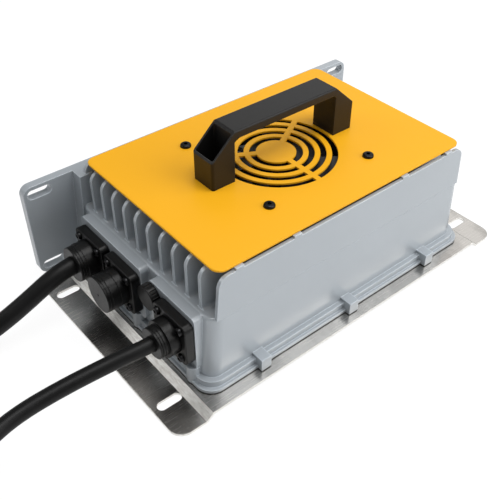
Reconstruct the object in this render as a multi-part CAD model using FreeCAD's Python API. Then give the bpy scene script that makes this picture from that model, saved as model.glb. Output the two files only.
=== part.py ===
"""A sealed car battery charger on a bent steel base plate, with its two cables.

Everything is in millimetres.  +Z is up and the base plate stands on z = 0.  The
connectors look along -X, the rear mounting flange is at +Y.
"""
import FreeCAD
import Part
import math
import os

V = FreeCAD.Vector
os.makedirs("parts", exist_ok=True)

# Base plate
base_length = 364.0
base_width = 216.0
base_corner = 12.0
base_sheet = 2.0
panel_rise = 5.3
joggle_run = 6.5
bend_round = 1.0
base_slot_length = 21.0
base_slot_width = 8.0
base_slot_from_end = 14.5
base_slot_from_side = 32.0
gasket_thick = 1.0

# Casing: a box open below, with a roof that carries the fins
casing_length = 272.0
casing_width = 179.0
casing_height = 66.2
end_draft = 4.6
side_draft = 0.5
casing_corner = 11.0
end_wall = 4.0
side_wall = 4.5
roof_thick = 5.0
cavity_corner = 7.0
lip_height = 8.2
lip_reach = 4.8
lip_corner = 14.0
band_height = 2.5
band_reach = 2.6

# Fins and side blades on the roof
fin_height = 36.5
fin_thick = 3.0
fin_pitch = 16.0
fins_each_side = 5
fin_end_gap = 3.8
fin_corner = 9.0
fin_foot = 3.0
fin_edge = 0.9
blade_end_gap = 5.0
blade_taper = 3.3
blade_corner = 9.5

# Rear rail and mounting flange
rail_thick = 9.0
flange_thick = 6.5
flange_length = 358.0
flange_bottom = 13.5
flange_top = 102.0
flange_corner = 8.0
flange_slot_length = 21.4
flange_slot_width = 8.5
flange_slot_from_end = 14.0
flange_slot_low = 8.0
flange_slot_high = 7.5

# Cover, its screws and the air grille
cover_gap = 2.0
cover_thick = 1.5
cover_end_inset = 8.5
cover_side_inset = 2.5
cover_corner = 8.0
grille_hub = 16.5
grille_first = 22.0
grille_slot = 5.0
grille_step = 9.5
grille_rings = 3
grille_spoke = 5.0
pad_length = 7.0
pad_depth = 5.5
pad_near_x = 57.0
pad_far_x = 110.0

# Fan
fan_size = 120.0
fan_holes = 105.0
fan_depth = 25.0
fan_bore = 116.0
fan_corner = 5.0
fan_pocket_gap = 2.0
fan_strut = 5.0
fan_plate = 2.5
fan_blades = 7
rotor_radius = 56.4
rotor_hub = 20.0
hub_wall = 2.5
blade_thick = 1.8
shaft_radius = 1.5
bearing_radius = 4.0
bearing_height = 4.0
bearing_tube = 5.5
stator_radius = 15.0

# Handle
handle_length = 148.0
handle_width = 24.5
handle_height = 44.0
handle_shoulder = 24.0
handle_flat = 104.0
handle_leg = 21.5
handle_bar = 6.5
handle_corner = 2.2
handle_arch = 3.0
handle_rim = 1.6
handle_pocket_corner = 1.2
handle_floor = 6.0
handle_screw_x = 66.0
handle_edge = 1.4
handle_nut_tall = 4.0
handle_nut_reach = 4.6

# Connectors on the left end
pad_reach = 3.0
pad_bottom = 22.0
pad_top = 74.0
far_pad_from = -12.0
far_pad_to = 76.0
near_pad_from = -79.5
near_pad_to = -22.6
pad_corner = 4.0
port_gasket = 0.8
port_flange = 7.2
port_wide = 40.4
port_tall = 39.0
port_corner = 5.0
port_screw_square = 27.3
port_spigot = 10.5
output_y = 53.3
output_z = 48.5
spare_y = 10.2
mains_y = -58.8
mains_z = 50.0
barrel_length = 8.5
seal_length = 5.0
output_barrel = 12.5
output_nut_radius = 15.6
output_nut_ring = 15.0
output_nut_ring_length = 7.0
output_nut_wall = 3.0
mains_barrel = 9.8
mains_nut_radius = 15.0
mains_nut_ring = 12.6
mains_nut_ring_length = 7.0
mains_nut_wall = 2.0
groove_width = 0.7
groove_depth = 0.6
screw_sink = 1.5
spare_neck = 13.5
spare_neck_length = 13.0
spare_bore = 11.0
spare_cap_radius = 15.5
spare_cap_wall = 4.5
signal_y = -27.8
signal_z = 62.0
signal_cap_radius = 10.4
signal_cap_length = 7.5
signal_knurls = 24
signal_neck = 6.5
signal_neck_length = 4.5

# Screws and fits
m3 = 1.5
m4 = 2.0
m5 = 2.5
running = 0.05
free_hole = 0.3
head_pan = 2.4

# Cables
output_cable = 15.0
mains_cable = 12.0
coil_turns = 3
coil_x = -396.0
output_coil_radius = 94.5
mains_coil_radius = 82.0
output_coil_pitch = 16.0
mains_coil_pitch = 13.0
coil_rest_gap = 0.7
output_plug_length = 58.0
output_plug_width = 48.0
output_plug_tall = 25.0
blade_side = 11.5
blade_width = 10.0
blade_tall = 3.0
mains_plug_length = 62.0
mains_plug_width = 40.0
mains_plug_tall = 35.0
mains_pin = 2.4
mains_pin_length = 20.0
plug_pins = [(-9.5, -5.0), (9.5, -5.0), (0.0, 8.0)]

# Circuit board and the pieces on it
board_end_gap = 14.0
board_side_gap = 2.5
board_thick = 1.6
board_height = 20.0
pillar_radius = 4.5
pillar_from_end = 8.0
pillar_from_side = 6.5
core_x = 30.0
core_y = -12.0
core_half = 26.0
core_deep = 14.0
core_tall = 42.0
core_leg = 8.0
core_yoke = 4.8
choke_places = [(-48.0, -34.0), (86.0, 24.0)]
choke_outer = 19.0
choke_inner = 9.0
choke_tall = 14.0
choke_wire = 2.0
choke_gap = 4.0
bulk_can_radius = 12.5
bulk_can_tall = 40.0
bulk_can_step = 29.0
bulk_can_x = -62.0
bulk_can_y = 14.0
output_can_radius = 8.0
output_can_tall = 25.0
output_can_x = (-60.0, -40.0, -20.0, 60.0)
output_can_y = 52.0
can_edge = 1.2
film_x = (20.0, 60.0)
film_y = -52.5
film_length = 26.0
film_thick = 11.0
film_tall = 20.0
fuse_x = -90.0
fuse_y = -16.0
fuse_z = 30.0
fuse_radius = 2.6
fuse_length = 20.0
fuse_clip = 4.0
relay_x = 91.0
relay_y = -17.0
relay_length = 26.0
relay_width = 18.0
relay_tall = 20.0
terminal_length = 18.0
terminal_width = 26.0
terminal_height = 20.0
terminal_from_wall = 28.0
wire_entry_drop = 5.0
clamp_height = 25.0
clamp_places = (-45.0, 0.0, 45.0)
clamp_half = 78.0
clamp_thick = 2.0
clamp_wide = 10.0
transistor_places = (-67.0, -22.0, 22.0, 67.0)
transistor_wide = 16.0
transistor_thick = 5.0
transistor_tall = 21.0
transistor_low = 12.0
leg_step = 5.4
leg_wide = 1.2
sheet_thick = 0.3
sheet_half = 80.0

# Levels and places that follow
panel_top = panel_rise + base_sheet
casing_z = panel_top + gasket_thick
roof_z = casing_z + casing_height
ceiling_z = roof_z - roof_thick
fin_top = roof_z + fin_height
cover_z = fin_top + cover_gap
cover_top = cover_z + cover_thick
fan_z = cover_z - fan_depth
casing_x = casing_length / 2
casing_y = casing_width / 2
foot_x = casing_x + end_draft
cavity_x = casing_x - end_wall
cavity_y = casing_y - side_wall
lip_x = foot_x + lip_reach - 0.9
lip_y = casing_y + lip_reach
band_x = lip_x + band_reach
band_y = lip_y + band_reach
rail_y = casing_y + rail_thick
flange_y = rail_y + flange_thick
post_radius = 6.0
post_x = band_x + 1.0 - post_radius
post_y = 73.5
post_height = 15.7
boss_x = 94.5
boss_half = 4.75
boss_y = band_y + 4.5
boss_height = 11.2
boss_screw_y = boss_y - 5.5
rail_screw_y = casing_y + rail_thick / 2
panel_x = post_x + post_radius + 1.7
pad_x = casing_x + end_draft + pad_reach - 0.1
port_x = pad_x + port_gasket
port_face = port_x + port_flange
fan_half_holes = fan_holes / 2
pocket_half = fan_size / 2 + fan_pocket_gap
handle_z = cover_top
fan_half = fan_size / 2
gland_start = port_face - 1.5
barrel_end = port_face + barrel_length
output_bore = output_cable / 2 + free_hole
mains_bore = mains_cable / 2 + free_hole

# Where the inside follows from the cavity
board_top = board_height + board_thick
board_half_x = cavity_x - board_end_gap
board_half_y = cavity_y - board_side_gap
pillar_x = board_half_x - pillar_from_end
pillar_y = board_half_y - pillar_from_side
terminal_x = terminal_from_wall - cavity_x
wire_entry_z = board_top + terminal_height - wire_entry_drop
clamp_z = board_top + clamp_height

# The fan's hub and its lead
hub_floor = fan_z + fan_plate
hub_top = cover_z - 2.0
lead_radius = 1.5
lead_x = 30.0
lead_y = (fins_each_side - 1) * fin_pitch
lead_top = fan_z + 4.0
lead_bottom = board_top + 8.4
grommet_lip = fin_pitch / 2 - fin_thick / 2 - fin_foot - 0.1
grommet_radius = grommet_lip - 0.8

# Where the cables lie: the output coil on the floor, the mains coil on it
output_floor = output_cable / 2
mains_floor = mains_cable / 2
output_lane = output_coil_radius
mains_lane = -mains_coil_radius
mains_coil_z = output_cable + output_coil_pitch + coil_rest_gap + mains_floor
output_coil_start = V(coil_x, output_lane, output_floor)
mains_coil_start = V(coil_x, mains_lane, mains_coil_z)
output_exit = V(coil_x - output_cable, output_lane - output_coil_pitch / 2, output_floor + output_coil_pitch)
mains_exit = V(coil_x - mains_cable, mains_lane + mains_coil_pitch / 2, mains_coil_z + mains_coil_pitch)
output_plug_at = V(-532.0, 84.0, output_plug_tall / 2)
mains_plug_at = V(-612.0, -77.5, mains_plug_tall / 2)


def box(x0, x1, y0, y1, z0, z1):
    """A plain block between six planes."""
    return Part.makeBox(x1 - x0, y1 - y0, z1 - z0, V(x0, y0, z0))


def rod(radius, start, end):
    """A round bar between two points."""
    return Part.makeCylinder(radius, (end - start).Length, start, end - start)


def rod_z(radius, x, y, z0, z1):
    """An upright round bar."""
    return rod(radius, V(x, y, z0), V(x, y, z1))


def rod_x(radius, y, z, reach0, reach1):
    """A round bar that looks along -X, from one distance to another."""
    return rod(radius, V(-reach0, y, z), V(-reach1, y, z))


def cone_x(radius0, radius1, y, z, reach0, reach1):
    """A tapered round bar that looks along -X."""
    return Part.makeCone(radius0, radius1, reach1 - reach0, V(-reach0, y, z), V(-1, 0, 0))


def joined(shapes):
    """One solid out of several that overlap."""
    first, rest = shapes[0], list(shapes[1:])
    return first.fuse(rest).removeSplitter() if rest else first


def group(shapes):
    """Separate solids kept together."""
    return Part.makeCompound(list(shapes))


def round_wire(x0, x1, y0, y1, radius, z):
    """A rectangle with round corners, flat at height z."""
    centres = [(x1 - radius, y0 + radius), (x1 - radius, y1 - radius)]
    centres += [(x0 + radius, y1 - radius), (x0 + radius, y0 + radius)]
    edges = []
    last = None
    first = None
    for index, (cx, cy) in enumerate(centres):
        spots = []
        for share in (0, 0.5, 1):
            angle = math.pi / 2 * (index - 1 + share)
            spots.append(V(cx + radius * math.cos(angle), cy + radius * math.sin(angle), z))
        if last is not None:
            edges.append(Part.LineSegment(last, spots[0]).toShape())
        else:
            first = spots[0]
        edges.append(Part.Arc(*spots).toShape())
        last = spots[2]
    edges.append(Part.LineSegment(last, first).toShape())
    return Part.Wire(edges)


def slab(x0, x1, y0, y1, radius, z0, z1):
    """A plate that lies flat, with round corners in plan."""
    return Part.Face(round_wire(x0, x1, y0, y1, radius, z0)).extrude(V(0, 0, z1 - z0))


def slab_x(y0, y1, z0, z1, radius, reach0, reach1):
    """A plate that faces -X, with round corners, from one distance to another."""
    shape = slab(y0, y1, z0, z1, radius, -reach1, -reach0)
    shape.rotate(V(0, 0, 0), V(1, 1, 1), 120)
    return shape


def slab_y(x0, x1, z0, z1, radius, y0, y1):
    """A plate that faces Y, with round corners."""
    shape = slab(z0, z1, x0, x1, radius, y0, y1)
    shape.rotate(V(0, 0, 0), V(1, 1, 1), 240)
    return shape


def prism_y(points, y0, y1):
    """A polygon in X and Z, drawn out along Y."""
    corners = [V(x, y0, z) for x, z in points]
    wire = Part.makePolygon(corners + corners[:1])
    return Part.Face(wire).extrude(V(0, y1 - y0, 0))


def slot_z(x, y, length, width, z0, z1):
    """A cutter for a slot that runs along X and goes through in Z."""
    reach = (length - width) / 2
    middle = box(x - reach, x + reach, y - width / 2, y + width / 2, z0, z1)
    ends = [rod_z(width / 2, x + side * reach, y, z0, z1) for side in (-1, 1)]
    return middle.fuse(ends)


def slot_y(x, z, length, width, y0, y1):
    """A cutter for a slot that runs along X and goes through in Y."""
    reach = (length - width) / 2
    middle = box(x - reach, x + reach, y0, y1, z - width / 2, z + width / 2)
    ends = [rod(width / 2, V(x + side * reach, y0, z), V(x + side * reach, y1, z)) for side in (-1, 1)]
    return middle.fuse(ends)


def edge_runs(edge, axis):
    """True where a straight edge runs along the axis."""
    if not isinstance(edge.Curve, (Part.Line, Part.LineSegment)):
        return False
    return abs(edge.Curve.Direction.dot(axis)) > 0.999


def rounded(shape, radius, wanted):
    """The shape with the wanted edges rounded."""
    return shape.makeFillet(radius, [edge for edge in shape.Edges if wanted(edge)])


def middle_of(edge):
    """The centre of an edge."""
    return edge.CenterOfMass


def screw_z(radius, head, head_tall, x, y, seat, length, up, recess=0.0):
    """A screw along Z: the head on one side of its seat, the shank on the other."""
    side = 1 if up else -1
    head_shape = rod_z(head, x, y, seat, seat + side * head_tall)
    if recess:
        socket = rod_z(recess, x, y, seat + side * head_tall, seat + side * head_tall * 0.45)
        head_shape = head_shape.cut(socket)
    shank = rod_z(radius, x, y, seat + side * 0.2, seat - side * length)
    return joined([head_shape, shank])


def corners(half_x, half_y):
    """The four places at plus and minus two distances."""
    return [(sx * half_x, sy * half_y) for sx in (-1, 1) for sy in (-1, 1)]


def write(node, shape):
    """Save one piece and print its size."""
    if not shape.isValid() or not shape.Solids:
        raise ValueError(node + " is not a valid solid")
    shape.exportStep("parts/" + node + ".step")
    bounds = shape.BoundBox
    print(node, len(shape.Solids), round(shape.Volume), [round(v, 1) for v in (
        bounds.XMin, bounds.XMax, bounds.YMin, bounds.YMax, bounds.ZMin, bounds.ZMax)])


# Base plate and what fastens the casing to it
def base_screw_places():
    """Where screws come up through the raised panel."""
    places = [(side * post_x, y) for side in (-1, 1) for y in (-post_y, 0, post_y)]
    for x in (-boss_x, 0, boss_x):
        places += [(x, -boss_screw_y), (x, rail_screw_y)]
    return places


def base_plate():
    """One sheet: a raised middle and two flanges on the floor, each with two slots."""
    half = base_length / 2
    shift = base_sheet * math.tan(math.atan2(panel_rise, joggle_run) / 2)
    low = [(-half, 0), (-panel_x - joggle_run, 0), (-panel_x, panel_rise)]
    high = [(half, base_sheet), (panel_x + joggle_run + shift, base_sheet), (panel_x + shift, panel_top)]
    low += [(-x, z) for x, z in reversed(low)]
    high += [(-x, z) for x, z in reversed(high)]
    sheet = prism_y(low + high, -base_width / 2, base_width / 2)
    sheet = rounded(sheet, bend_round, lambda edge: edge_runs(edge, V(0, 1, 0))
                    and abs(middle_of(edge).x) < half - 1)
    plan = slab(-half, half, -base_width / 2, base_width / 2, base_corner, 0, panel_top)
    sheet = sheet.common(plan)
    holes = [rod_z(m4 + free_hole, x, y, 0, panel_top + 1) for x, y in base_screw_places()]
    slot_x = half - base_slot_from_end
    slot_side = base_width / 2 - base_slot_from_side
    holes += [slot_z(x, y, base_slot_length, base_slot_width, -1, base_sheet + 1)
              for x, y in corners(slot_x, slot_side)]
    return sheet.cut(holes)


def foot_outline(z0, z1):
    """The casing's foot seen from above, as a slab between two heights."""
    shapes = [slab(-band_x, band_x, -band_y, rail_y, lip_corner, z0, z1)]
    shapes += [rod_z(post_radius, side * post_x, y, z0, z1)
               for side in (-1, 1) for y in (-post_y, 0, post_y)]
    shapes += [box(x - boss_half, x + boss_half, -boss_y, -casing_y, z0, z1)
               for x in (-boss_x, 0, boss_x)]
    return joined(shapes)


def pillar_places():
    """Where the pillars hold the circuit board."""
    return corners(pillar_x, pillar_y) + [(0, pillar_y)]


def fan_screw_places():
    """The corners of the fan's screw square."""
    return corners(fan_half_holes, fan_half_holes)


def cavity(z0, z1):
    """The hollow of the casing."""
    return slab(-cavity_x, cavity_x, -cavity_y, cavity_y, cavity_corner, z0, z1)


def base_gasket():
    """The flat gasket under the casing's foot."""
    holes = [rod_z(m4 + free_hole, x, y, panel_top, casing_z) for x, y in base_screw_places()]
    return foot_outline(panel_top, casing_z).cut([cavity(panel_top, casing_z)] + holes)


def base_screws():
    """Twelve screws up through the panel and the gasket."""
    return group(screw_z(m4, 1.9 * m4, head_pan, x, y, panel_rise, 12.0, False)
                 for x, y in base_screw_places())


# Main casing
def fin(y):
    """One fin along X with a hollow fillet at its foot and a rounded top edge."""
    half = fin_thick / 2
    root = roof_z - 1.0
    bow = fin_foot * (1 - math.sqrt(0.5))
    crown = fin_edge * (1 - math.sqrt(0.5))
    right = [V(0, half + fin_foot, root), V(0, half + fin_foot, roof_z),
             V(0, half + bow, roof_z + bow), V(0, half, roof_z + fin_foot),
             V(0, half, fin_top - fin_edge), V(0, half - crown, fin_top - crown),
             V(0, half - fin_edge, fin_top)]
    left = [V(0, -p.y, p.z) for p in reversed(right)]
    edges = [Part.LineSegment(right[0], left[-1]).toShape(), Part.LineSegment(right[-1], left[0]).toShape()]
    for side in (right, left[::-1]):
        edges += [Part.LineSegment(side[0], side[1]).toShape(), Part.Arc(side[1], side[2], side[3]).toShape(),
                  Part.LineSegment(side[3], side[4]).toShape(), Part.Arc(side[4], side[5], side[6]).toShape()]
    reach = casing_x - fin_end_gap
    body = Part.Face(Part.Wire(Part.sortEdges(edges)[0])).extrude(V(2 * reach, 0, 0))
    body.translate(V(-reach, y, 0))
    width = half + fin_foot + 1
    frame = slab_y(-reach, reach, roof_z - 3 * fin_corner, fin_top, fin_corner, y - width, y + width)
    return body.common(frame)


def side_blade(side):
    """The thin wall that carries on above the roof, with slanted and rounded ends."""
    low = casing_x - blade_end_gap
    high = low - blade_taper
    y0, y1 = sorted((side * casing_y, side * (casing_y - fin_thick)))
    plate = prism_y([(-low, roof_z - 1), (low, roof_z - 1), (high, fin_top), (-high, fin_top)], y0, y1)
    return rounded(plate, blade_corner, lambda edge: edge_runs(edge, V(0, 1, 0))
                   and middle_of(edge).z > fin_top - 1)


def cover_pads(side):
    """The raised pads on a side blade that the cover lies on."""
    y0, y1 = sorted((side * casing_y, side * (casing_y - pad_depth)))
    return [box(x - pad_length / 2, x + pad_length / 2, y0, y1, fin_top - 10, cover_z)
            for x in (-pad_far_x, -pad_near_x, pad_near_x, pad_far_x)]


def port_list():
    """Each connector's place and the radius of its hole in the wall."""
    hole = port_spigot + free_hole
    return [(output_y, output_z, hole), (spare_y, output_z, hole), (mains_y, mains_z, hole)]


def port_screw_places():
    """The four screws round each connector, in Y and Z."""
    half = port_screw_square / 2
    return [(y + dy, z + dz) for y, z, hole in port_list() for dy, dz in corners(half, half)]


def main_casing():
    """The cast casing with its fins, lip, bosses, pads and rear flange."""
    low = round_wire(-foot_x, foot_x, -casing_y - side_draft, casing_y + side_draft, casing_corner, casing_z)
    high = round_wire(-casing_x, casing_x, -casing_y, casing_y, casing_corner, roof_z)
    block = Part.makeLoft([low, high], True, True)
    block = rounded(block, 2.2, lambda edge: abs(middle_of(edge).z - roof_z) < 0.01)
    shapes = [block]
    shapes.append(slab(-lip_x, lip_x, -lip_y, rail_y, lip_corner, casing_z, casing_z + lip_height))
    shapes.append(foot_outline(casing_z, casing_z + band_height))
    shapes += [rod_z(post_radius, side * post_x, y, casing_z, casing_z + post_height)
               for side in (-1, 1) for y in (-post_y, 0, post_y)]
    shapes += [box(x - boss_half, x + boss_half, -boss_y, -casing_y, casing_z, casing_z + boss_height)
               for x in (-boss_x, 0, boss_x)]
    rail_low = [(-foot_x, casing_z), (foot_x, casing_z)]
    rail_high = [(casing_x - 1.5, flange_top), (-casing_x + 1.5, flange_top)]
    shapes.append(prism_y(rail_low + rail_high, casing_y - side_wall, rail_y))
    half = flange_length / 2
    shapes.append(slab_y(-half, half, flange_bottom, flange_top, flange_corner, rail_y - 1, flange_y))
    for pad_from, pad_to in ((far_pad_from, far_pad_to), (near_pad_from, near_pad_to)):
        shapes.append(slab_x(pad_from, pad_to, pad_bottom, pad_top, pad_corner, cavity_x + 1, pad_x))
    places = [side * (index + 0.5) * fin_pitch for side in (-1, 1) for index in range(fins_each_side)]
    fins = [fin(y) for y in places]
    for side in (-1, 1):
        fins += [side_blade(side)] + cover_pads(side)
    pocket = slab(-pocket_half, pocket_half, -pocket_half, pocket_half, fan_corner, fan_z - 0.5, cover_z + 1)
    fins = [blade.cut(pocket) for blade in fins]
    shapes += fins
    shapes += [rod_z(2.25 * m4, x, y, roof_z - 1, fan_z) for x, y in fan_screw_places()]
    body = joined(shapes).cut(cavity(casing_z - 1, ceiling_z))
    pillars = [rod_z(pillar_radius, x, y, board_top, ceiling_z + 1)
               for x, y in pillar_places()]
    body = body.fuse(pillars)
    return body.cut(casing_holes())


def casing_holes():
    """Every drilled or tapped hole in the casing."""
    cuts = [rod_z(m4 + running, x, y, casing_z - 1, casing_z + 10) for x, y in base_screw_places()]
    cuts += [rod_z(m4 + running, x, y, fan_z - 10, fan_z + 1) for x, y in fan_screw_places()]
    cuts += [rod_z(m3 + running, x, y, board_top - 1, board_top + 9)
             for x, y in pillar_places()]
    cuts += [rod_x(hole, y, z, cavity_x - 2, pad_x + 1) for y, z, hole in port_list()]
    cuts += [rod_x(m4 + running, y, z, pad_x - 9, pad_x + 1) for y, z in port_screw_places()]
    cuts.append(rod_x(signal_neck - 1 + free_hole, signal_y, signal_z, cavity_x - 2, pad_x + 1))
    half = flange_length / 2 - flange_slot_from_end
    for height in (flange_bottom + flange_slot_low, flange_top - flange_slot_high):
        cuts += [slot_y(side * half, height, flange_slot_length, flange_slot_width, rail_y - 2, flange_y + 1)
                 for side in (-1, 1)]
    cuts.append(rod_z(grommet_radius, lead_x, lead_y, ceiling_z - 1, roof_z + 1))
    cuts += [rod(m3 + running, V(x, -cavity_y + 1, clamp_z), V(x, -cavity_y - 3.4, clamp_z)) for x in clamp_places]
    return cuts


# Cover and handle
def grille_cutters():
    """Rings of slots round the hub, kept apart by three spokes."""
    rings = []
    inner, outer = grille_hub, grille_first
    for index in range(grille_rings + 1):
        ring = rod_z(outer, 0, 0, cover_z - 1, cover_top + 1)
        rings.append(ring.cut(rod_z(inner, 0, 0, cover_z - 2, cover_top + 2)))
        inner = grille_first + grille_slot + index * grille_step - 0.5
        outer = inner + grille_slot
    spokes = []
    for index in range(3):
        arm = box(0, grille_first + (grille_rings + 1) * grille_step, -grille_spoke / 2, grille_spoke / 2,
                  cover_z - 2, cover_top + 2)
        arm.rotate(V(0, 0, 0), V(0, 0, 1), 30 + 120 * index)
        spokes.append(arm)
    return [ring.cut(spokes) for ring in rings]


def top_cover():
    """The flat cover with the air grille and its screw holes."""
    half_x = casing_x - cover_end_inset
    half_y = casing_y - cover_side_inset
    plate = slab(-half_x, half_x, -half_y, half_y, cover_corner, cover_z, cover_top)
    plate = rounded(plate, 0.5, lambda edge: abs(middle_of(edge).z - cover_top) < 0.01)
    cuts = grille_cutters()
    cuts += [rod_z(m4 + free_hole, x, y, cover_z - 1, cover_top + 1)
             for x, y in fan_screw_places()]
    cuts += [rod_z(m5 + free_hole, side * handle_screw_x, 0, cover_z - 1, cover_top + 1) for side in (-1, 1)]
    return plate.cut(cuts)


def cover_screws():
    """Four screws through the cover and the fan into the casing."""
    return group(screw_z(m4, 2.5 * m4, 2.6, x, y, cover_top, cover_thick + fan_depth + 8, True, 1.6)
                 for x, y in fan_screw_places())


def handle():
    """The moulded handle: a bar, two legs and a deep pocket over each screw."""
    half = handle_length / 2
    flat = handle_flat / 2
    inside = half - handle_leg
    z = handle_z
    outside = [(-half, z), (-half, z + handle_shoulder), (-flat, z + handle_height)]
    outside += [(-x, level) for x, level in reversed(outside)]
    gap = [(inside, z), (inside, z + handle_height - handle_bar)]
    gap += [(-x, level) for x, level in reversed(gap)]
    wide = handle_width / 2
    body = prism_y(outside + gap, -wide, wide)
    body = rounded(body, handle_corner, lambda edge: edge_runs(edge, V(0, 0, 1))
                   and abs(middle_of(edge).x) > half - 1)
    body = rounded(body, handle_arch, lambda edge: edge_runs(edge, V(0, 1, 0))
                   and abs(abs(middle_of(edge).x) - inside) < 0.01 and middle_of(edge).z > z + 1)
    body = rounded(body, handle_edge, lambda edge: edge_runs(edge, V(1, 0, 0))
                   and abs(middle_of(edge).z - z - handle_height) < 0.01)
    cuts = []
    for side in (-1, 1):
        x0, x1 = sorted((side * (inside + handle_rim), side * (half - handle_rim)))
        cuts.append(slab(x0, x1, -wide + handle_rim, wide - handle_rim, handle_pocket_corner,
                         z + handle_floor, z + handle_height + 1))
        cuts.append(rod_z(m5 + free_hole, side * handle_screw_x, 0, z - 1, z + handle_floor + 1))
    return body.cut(cuts)


def handle_screws():
    """The two screws at the bottom of the handle's pockets."""
    length = handle_floor + cover_thick + handle_nut_tall + 2.5
    return group(screw_z(m5, 1.7 * m5, 4.5, side * handle_screw_x, 0, handle_z + handle_floor, length, True, 1.9)
                 for side in (-1, 1))


def handle_nuts():
    """Hexagon nuts under the cover, in the valley between the two middle fins."""
    nuts = []
    for side in (-1, 1):
        spots = []
        for index in range(7):
            angle = math.radians(60 * index)
            spots.append(V(side * handle_screw_x + handle_nut_reach * math.cos(angle),
                           handle_nut_reach * math.sin(angle), cover_z))
        body = Part.Face(Part.makePolygon(spots)).extrude(V(0, 0, -handle_nut_tall))
        bore = rod_z(m5 + running, side * handle_screw_x, 0, cover_z - handle_nut_tall - 1, cover_z + 1)
        nuts.append(body.cut(bore))
    return group(nuts)


# Fan
def fan_frame():
    """The square frame with its struts, bearing tube and lead housing."""
    body = slab(-fan_half, fan_half, -fan_half, fan_half, fan_corner, fan_z, cover_z)
    body = body.cut(rod_z(fan_bore / 2, 0, 0, fan_z - 1, cover_z + 1))
    arms = [rod_z(rotor_hub, 0, 0, fan_z, hub_floor)]
    for index in range(4):
        arm = box(0, fan_bore / 2 + 1, -fan_strut / 2, fan_strut / 2, fan_z, hub_floor)
        arm.rotate(V(0, 0, 0), V(0, 0, 1), 45 + 90 * index)
        arms.append(arm)
    arms.append(rod_z(bearing_tube, 0, 0, fan_z, hub_top - 4))
    arms.append(box(lead_x - 4, lead_x + 4, fan_half - 1, lead_y + 2.5, lead_top, lead_top + 9))
    body = joined([body] + arms)
    cuts = [rod_z(bearing_radius, 0, 0, fan_z + 1, cover_z + 1)]
    cuts += [rod_z(m4 + free_hole, x, y, fan_z - 1, cover_z + 1) for x, y in fan_screw_places()]
    return body.cut(cuts)


def blade_section(radius, pitch, chord, middle):
    """A thin slanted rectangle across one blade, at a distance from the axis."""
    along = V(0, math.cos(pitch), math.sin(pitch))
    across = V(0, -math.sin(pitch), math.cos(pitch))
    spots = []
    for a, b in ((-1, -1), (1, -1), (1, 1), (-1, 1)):
        spots.append(V(radius, 0, middle) + along * (a * chord / 2) + across * (b * blade_thick / 2))
    return Part.makePolygon(spots + spots[:1])


def fan_rotor():
    """The hub cup with its blades."""
    middle = (hub_floor + hub_top) / 2
    cup = rod_z(rotor_hub, 0, 0, hub_floor + 1, hub_top)
    cup = cup.cut(rod_z(rotor_hub - hub_wall, 0, 0, hub_floor, hub_top - hub_wall))
    cup = cup.fuse(rod_z(3 * shaft_radius, 0, 0, hub_top - hub_wall - 1.2, hub_top - 1))
    tall = hub_top - hub_floor - 3
    root = blade_section(rotor_hub - 1, math.radians(52), 0.98 * tall, middle)
    tip = blade_section(rotor_radius + 4, math.radians(28), 1.9 * tall, middle)
    blade = Part.makeLoft([root, tip], True, True)
    blade = blade.common(rod_z(rotor_radius, 0, 0, fan_z, cover_z))
    blade = blade.cut(rod_z(rotor_hub - 1.0, 0, 0, fan_z, cover_z))
    shapes = [cup]
    for index in range(fan_blades):
        copy = blade.copy()
        copy.rotate(V(0, 0, 0), V(0, 0, 1), 360 / fan_blades * index)
        shapes.append(copy)
    return joined(shapes).cut(rod_z(shaft_radius, 0, 0, fan_z, hub_top - 1.5))


def fan_shaft():
    """The steel shaft that turns in the two bearings."""
    return rod_z(shaft_radius, 0, 0, fan_z + 2.2, hub_top - 1.5)


def fan_bearings():
    """Two bearings in the frame's tube."""
    rings = []
    for z in (hub_floor + 1, hub_top - 4 - bearing_height - 0.5):
        ring = rod_z(bearing_radius, 0, 0, z, z + bearing_height)
        rings.append(ring.cut(rod_z(shaft_radius + running, 0, 0, z - 1, z + bearing_height + 1)))
    return group(rings)


def fan_stator():
    """The wound stator round the bearing tube."""
    low, high = hub_floor + 2.5, hub_top - 7
    body = rod_z(stator_radius, 0, 0, low, high).cut(rod_z(bearing_tube, 0, 0, low - 1, high + 1))
    gaps = []
    for index in range(4):
        gap = box(bearing_tube + 3, stator_radius + 1, -1.2, 1.2, low - 1, high + 1)
        gap.rotate(V(0, 0, 0), V(0, 0, 1), 90 * index)
        gaps.append(gap)
    return body.cut(gaps)


def fan_lead():
    """The fan's lead, straight down through the roof to the board."""
    return rod_z(lead_radius, lead_x, lead_y, lead_bottom, lead_top)


def fan_grommet():
    """The rubber grommet that seals the lead in the roof."""
    body = rod_z(grommet_radius, lead_x, lead_y, ceiling_z, roof_z)
    body = body.fuse(rod_z(grommet_lip, lead_x, lead_y, roof_z, roof_z + 1.8))
    return body.removeSplitter().cut(rod_z(lead_radius, lead_x, lead_y, ceiling_z - 1, roof_z + 3))


# Connectors
def port_body(y, z, bore, barrel, reach):
    """A square flange with a spigot into the wall and a round barrel outside."""
    half_y, half_z = port_wide / 2, port_tall / 2
    body = slab_x(y - half_y, y + half_y, z - half_z, z + half_z, port_corner, port_x, port_face)
    body = rounded(body, 0.8, lambda edge: abs(middle_of(edge).x + port_face) < 0.01)
    body = joined([body, rod_x(port_spigot, y, z, cavity_x - 1.5, port_x + 1),
                   rod_x(barrel, y, z, port_x + 1, reach)])
    half = port_screw_square / 2
    cuts = [rod_x(bore, y, z, cavity_x - 3, reach + 1)] if bore else []
    for dy, dz in corners(half, half):
        cuts.append(rod_x(m4 + free_hole, y + dy, z + dz, port_x - 1, port_face + 1))
        cuts.append(rod_x(1.75 * m4 + free_hole, y + dy, z + dz, port_face - screw_sink, port_face + 1))
    return body.cut(cuts)


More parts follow.
